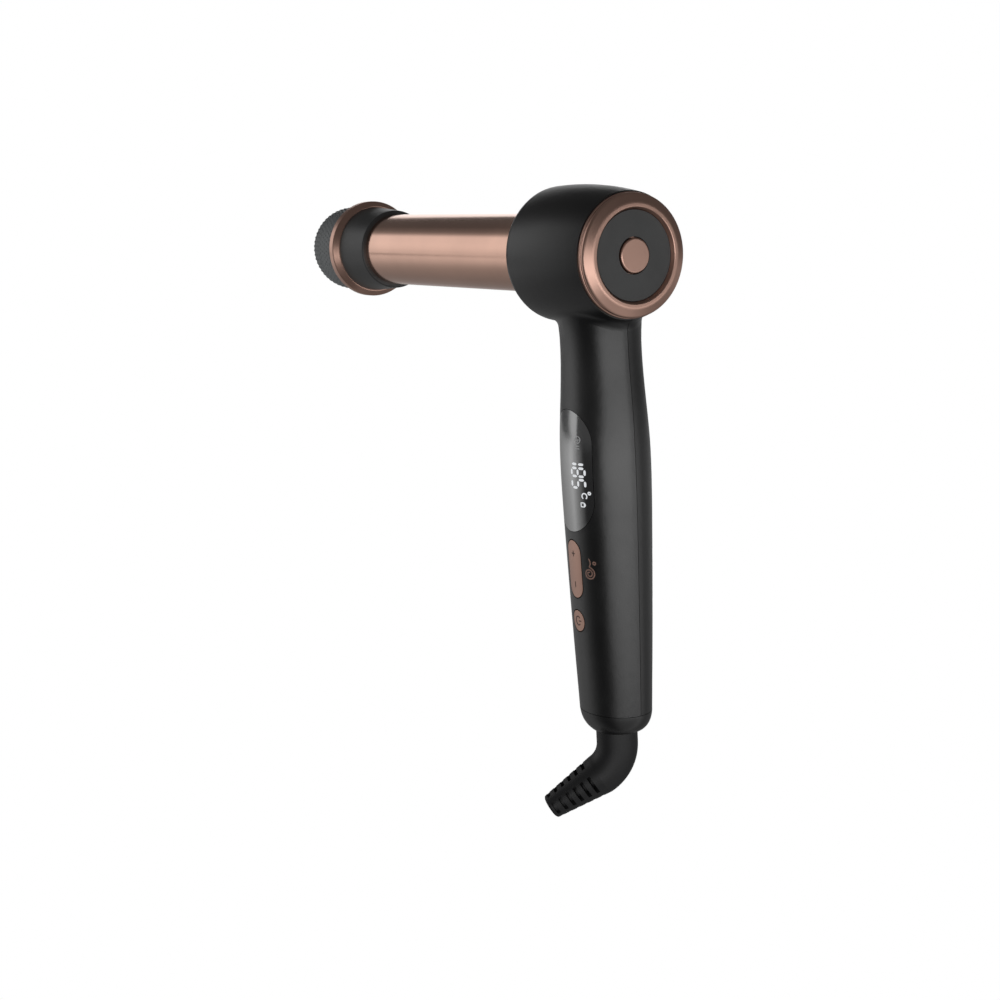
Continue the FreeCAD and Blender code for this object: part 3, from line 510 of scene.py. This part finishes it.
def strain_relief():
    """The tapered relief with slots on four sides, in place of its plain CAD cone."""
    entry = next(mount for mount in frame["record"]["mounts"] if mount["name"] == "cord_entry")
    tip, axis = Vector(entry["pos_m"]), Vector(entry["axis"]).normalized()
    bore_radius, bore_length = entry["dims"]["r_mm"] * MM, entry["dims"]["length_mm"] * MM
    side = axis.cross(Vector((0, 0, 1))).normalized()
    over = side.cross(axis)

    corners = [vertex.co - tip for vertex in NODES["strain_relief"].data.vertices]
    places = [(corner.dot(axis), (corner - axis * corner.dot(axis)).length) for corner in corners]
    length = -min(along for along, _ in places)
    near = 0.2 * MM
    base_radius = max(radius for along, radius in places if along < -length + near)
    tip_radius = max(radius for along, radius in places if along > -near)

    slots = [SLOT_NEARER + (n - SLOT_ROWS) * SLOT_PITCH for n in range(SLOT_ROWS)]
    stations = [-length, -length + BASE_STATION]
    for start in slots:
        end = start + SLOT_WIDE
        stations += [start - SLOT_WALL, start + SLOT_WALL, end - SLOT_WALL, end + SLOT_WALL]
    stations += [-EDGE_LENGTH, -EDGE_STATION, 0.0]

    # Rings from the base to the tip and down the bore: (along, radius, radius in the slots' quarters).
    rings = []
    for along in stations:
        radius = base_radius + (tip_radius - base_radius) * (along + length) / length
        if along > -EDGE_LENGTH:
            share = (along + EDGE_LENGTH) / EDGE_LENGTH
            radius -= EDGE_DEPTH * (1 - math.sqrt(max(0.0, 1 - share**2)))
        in_slot = any(start < along < start + SLOT_WIDE for start in slots)
        rings.append((along, radius, bore_radius + CORE_WALL if in_slot else radius))
    rings += [(0.0, bore_radius, bore_radius), (-bore_length, bore_radius, bore_radius)]

    vertices, faces = [], []
    for along, radius, slotted in rings:
        for column in range(RELIEF_COLUMNS):
            turn = 2 * math.pi * column / RELIEF_COLUMNS
            quarter = (math.degrees(turn) + 45.0) % 90.0
            reach = slotted if SLOT_FROM < quarter < SLOT_TO else radius
            outward = side * math.cos(turn) + over * math.sin(turn)
            vertices.append(tip + axis * along + outward * reach)
    for row in range(len(rings) - 1):
        low, high = row * RELIEF_COLUMNS, (row + 1) * RELIEF_COLUMNS
        for column in range(RELIEF_COLUMNS):
            after = (column + 1) % RELIEF_COLUMNS
            faces.append((low + column, low + after, high + after, high + column))
    faces.append(tuple(reversed(range(RELIEF_COLUMNS))))
    faces.append(tuple(range(len(vertices) - RELIEF_COLUMNS, len(vertices))))
    rubber = MATERIALS["black_rubber"]
    relief = mesh_piece(
        "slotted_relief", vertices, faces, rubber, "cord_swivel", smooth=False
    )
    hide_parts("strain_relief")


display()
control_marks()
curl_mark()
dots()
strain_relief()

# ------------------------------------------------------------------ camera
# The photograph's view: from behind the head, on the control side, slightly above and rolled.
CAMERA_FROM_HEAD = Vector((579.4, -411.2, 38.5)) * MM
CAMERA_AZIMUTH, CAMERA_ELEVATION, CAMERA_ROLL = (math.radians(a) for a in (58.1, 10.7, -3.06))
SENSOR_WIDTH = 36.0
LENS_PER_SENSOR = 1.8


def put(thing, across, up, back, place):
    """Puts a camera or a light in the scene at a place, its own X, Y and Z along three directions."""
    turned = Matrix((across, up, back)).transposed().to_4x4()
    thing.matrix_world = Matrix.Translation(place) @ turned
    bpy.context.scene.collection.objects.link(thing)


def camera():
    out = math.cos(CAMERA_ELEVATION)
    sine, cosine = math.sin(CAMERA_AZIMUTH), math.cos(CAMERA_AZIMUTH)
    back = Vector((sine * out, -cosine * out, math.sin(CAMERA_ELEVATION)))
    level = Vector((cosine, sine, 0))
    above = back.cross(level)
    right = math.cos(CAMERA_ROLL) * level + math.sin(CAMERA_ROLL) * above
    up = -math.sin(CAMERA_ROLL) * level + math.cos(CAMERA_ROLL) * above
    data = bpy.data.cameras.new("camera")
    data.sensor_width = SENSOR_WIDTH
    data.lens = LENS_PER_SENSOR * SENSOR_WIDTH
    data.clip_start = 0.01
    data.clip_end = 50
    eye = bpy.data.objects.new("camera", data)
    put(eye, right, up, back, HEAD + CAMERA_FROM_HEAD)
    bpy.context.scene.camera = eye


# ------------------------------------------------------------------ floor, room and lights
FLOOR_HALF = 6.0
FLOOR_DROP = 0.45
# How bright the floor is in reflections, by its distance from the handle in metres.
FLOOR_GLOW = [(0.5, 0.22), (1.6, 0.30), (2.6, 0.50), (4.0, 0.60), (6.0, 0.55)]
# The share of that brightness at each azimuth in degrees from +X: a dark sector faces the controls.
FLOOR_SECTOR = [
    (-180, 0.8), (-154, 1.1), (-143, 1.4), (-128, 0.7), (-110, 0.06), (-74, 0.06),
    (-60, 1.0), (10, 1.2), (26, 1.9), (40, 1.9), (56, 0.6), (180, 0.8),
]
# How bright the room is in reflections.
ROOM = 0.09
# How bright the key panel is, by the turn round the barrel at which it is mirrored.
KEY_GLOW = [
    (-10, 0.62), (4, 0.80), (14, 0.90), (24, 0.94), (50, 0.90), (58, 0.30), (66, 0.16), (78, 0.12),
]
KEY_WIDTH = 1.2
LIGHT_AWAY = 1.6
# An area light's watts for each square metre and each unit of its brightness.
WATTS_PER_RADIANCE = 4
# The barrel mirrors the camera's rays into a cone round X: its reach along X, and away from X.
MIRROR_ALONG, MIRROR_OUT = -0.834, 0.551


def bare_material(name):
    """A new material, its node tree and its output, with no other node."""
    material = bpy.data.materials.new(name)
    material.use_nodes = True
    tree = material.node_tree
    tree.nodes.clear()
    return material, tree, tree.nodes.new("ShaderNodeOutputMaterial")


def stage_mesh(name, vertices, faces, material):
    """A mesh that isn't part of the object."""
    mesh = bpy.data.meshes.new(name)
    mesh.from_pydata(vertices, [], faces)
    mesh.materials.append(material)
    thing = bpy.data.objects.new(name, mesh)
    bpy.context.scene.collection.objects.link(thing)
    return thing


def grey_ramp(tree, source, stops):
    """A ramp of greys over the source, each stop a place from 0 to 1 and a brightness."""
    ramp = tree.nodes.new("ShaderNodeValToRGB")
    elements = ramp.color_ramp.elements
    while len(elements) < len(stops):
        elements.new(0.5)
    for element, (place, glow) in zip(elements, stops):
        element.position = place
        element.color = (glow, glow, glow, 1)
    tree.links.new(source, ramp.inputs["Fac"])
    return ramp.outputs["Color"]


def floor_material():
    """White to the camera. In reflections it is dimmer, by distance and by azimuth."""
    material, tree, output = bare_material("pale_floor")
    coords = tree.nodes.new("ShaderNodeTexCoord")
    distance = tree.nodes.new("ShaderNodeVectorMath")
    distance.operation = "LENGTH"
    scaled = tree.nodes.new("ShaderNodeMath")
    scaled.operation = "DIVIDE"
    scaled.inputs[1].default_value = FLOOR_HALF
    around = tree.nodes.new("ShaderNodeTexGradient")
    around.gradient_type = "RADIAL"
    tree.links.new(coords.outputs["Object"], distance.inputs[0])
    tree.links.new(distance.outputs["Value"], scaled.inputs[0])
    tree.links.new(coords.outputs["Object"], around.inputs["Vector"])
    by_distance = [(radius / FLOOR_HALF, glow) for radius, glow in FLOOR_GLOW]
    by_azimuth = [(azimuth / 360 + 0.5, share) for azimuth, share in FLOOR_SECTOR]
    both = tree.nodes.new("ShaderNodeVectorMath")
    both.operation = "MULTIPLY"
    tree.links.new(grey_ramp(tree, scaled.outputs["Value"], by_distance), both.inputs[0])
    tree.links.new(grey_ramp(tree, around.outputs["Fac"], by_azimuth), both.inputs[1])

    seen = tree.nodes.new("ShaderNodeEmission")
    mirrored = tree.nodes.new("ShaderNodeEmission")
    choice = tree.nodes.new("ShaderNodeMixShader")
    ray = tree.nodes.new("ShaderNodeLightPath")
    tree.links.new(both.outputs["Vector"], mirrored.inputs["Color"])
    tree.links.new(ray.outputs["Is Camera Ray"], choice.inputs["Fac"])
    tree.links.new(mirrored.outputs["Emission"], choice.inputs[1])
    tree.links.new(seen.outputs["Emission"], choice.inputs[2])
    tree.links.new(choice.outputs["Shader"], output.inputs["Surface"])
    return material


def floor():
    """A plain pale floor, well below the object."""
    level = CAD_BOX[0][2] - FLOOR_DROP
    corners = [(-1, -1), (1, -1), (1, 1), (-1, 1)]
    vertices = [(x * FLOOR_HALF, y * FLOOR_HALF, level) for x, y in corners]
    stage_mesh("floor", vertices, [(0, 1, 2, 3)], floor_material())


def world():
    """White to the camera, and a dim room in reflections."""
    room = bpy.data.worlds.new("room")
    room.use_nodes = True
    bpy.context.scene.world = room
    tree = room.node_tree
    shade = tree.nodes["Background"]
    shade.inputs["Color"].default_value = (1, 1, 1, 1)
    ray = tree.nodes.new("ShaderNodeLightPath")
    level = tree.nodes.new("ShaderNodeMapRange")
    level.inputs["To Min"].default_value = ROOM
    level.inputs["To Max"].default_value = 1.0
    tree.links.new(ray.outputs["Is Camera Ray"], level.inputs["Value"])
    tree.links.new(level.outputs["Result"], shade.inputs["Strength"])


def from_barrel(turn):
    """The direction that the barrel mirrors to the camera where the reflection lies at turn about X."""
    angle = math.radians(turn)
    return Vector((MIRROR_ALONG, -MIRROR_OUT * math.cos(angle), MIRROR_OUT * math.sin(angle)))


def from_azimuth(azimuth, rise):
    """The direction at an azimuth in degrees from +X that rises so much for each metre out."""
    angle = math.radians(azimuth)
    return Vector((math.cos(angle), math.sin(angle), rise))


def softbox(name, toward, width, height, radiance):
    """A rectangle of light that faces the head from a direction, upright, as bright as radiance."""
    back = toward.normalized()
    across = Vector((0, 0, 1)).cross(back).normalized()
    data = bpy.data.lights.new(name, "AREA")
    data.shape = "RECTANGLE"
    data.size = width
    data.size_y = height
    data.energy = radiance * WATTS_PER_RADIANCE * width * height
    thing = bpy.data.objects.new(name, data)
    thing.visible_camera = False
    put(thing, across, back.cross(across), back, HEAD + back * LIGHT_AWAY)


def glow_material(name):
    """A light whose strength is the mesh's glow attribute."""
    material, tree, output = bare_material(name)
    emission = tree.nodes.new("ShaderNodeEmission")
    value = tree.nodes.new("ShaderNodeAttribute")
    value.attribute_name = "glow"
    tree.links.new(value.outputs["Fac"], emission.inputs["Strength"])
    tree.links.new(emission.outputs["Emission"], output.inputs["Surface"])
    return material


def arc_panel(name, turns_and_glow):
    """A curved light panel across the barrel's mirrored directions, its glow set at each turn."""
    vertices, faces, glow = [], [], []
    for turn, strength in turns_and_glow:
        toward = from_barrel(turn).normalized()
        tangent = (from_barrel(turn + 1) - from_barrel(turn - 1)).normalized()
        sideways = toward.cross(tangent)
        for side in (-0.5, 0.5):
            vertices.append(tuple(HEAD + toward * LIGHT_AWAY + sideways * side * KEY_WIDTH))
            glow.append(strength)
    for row in range(len(turns_and_glow) - 1):
        faces.append((2 * row, 2 * row + 1, 2 * row + 3, 2 * row + 2))
    thing = stage_mesh(name, vertices, faces, glow_material(name))
    thing.visible_camera = False
    layer = thing.data.attributes.new("glow", "FLOAT", "POINT")
    layer.data.foreach_set("value", glow)


camera()
floor()
world()
arc_panel("key", KEY_GLOW)
softbox("backdrop", from_barrel(161.0), 1.0, 0.6, 0.9)
softbox("front_right", from_azimuth(-21.0, -0.17), 3.0, 0.8, 1.0)
bpy.context.scene.view_settings.view_transform = "Standard"
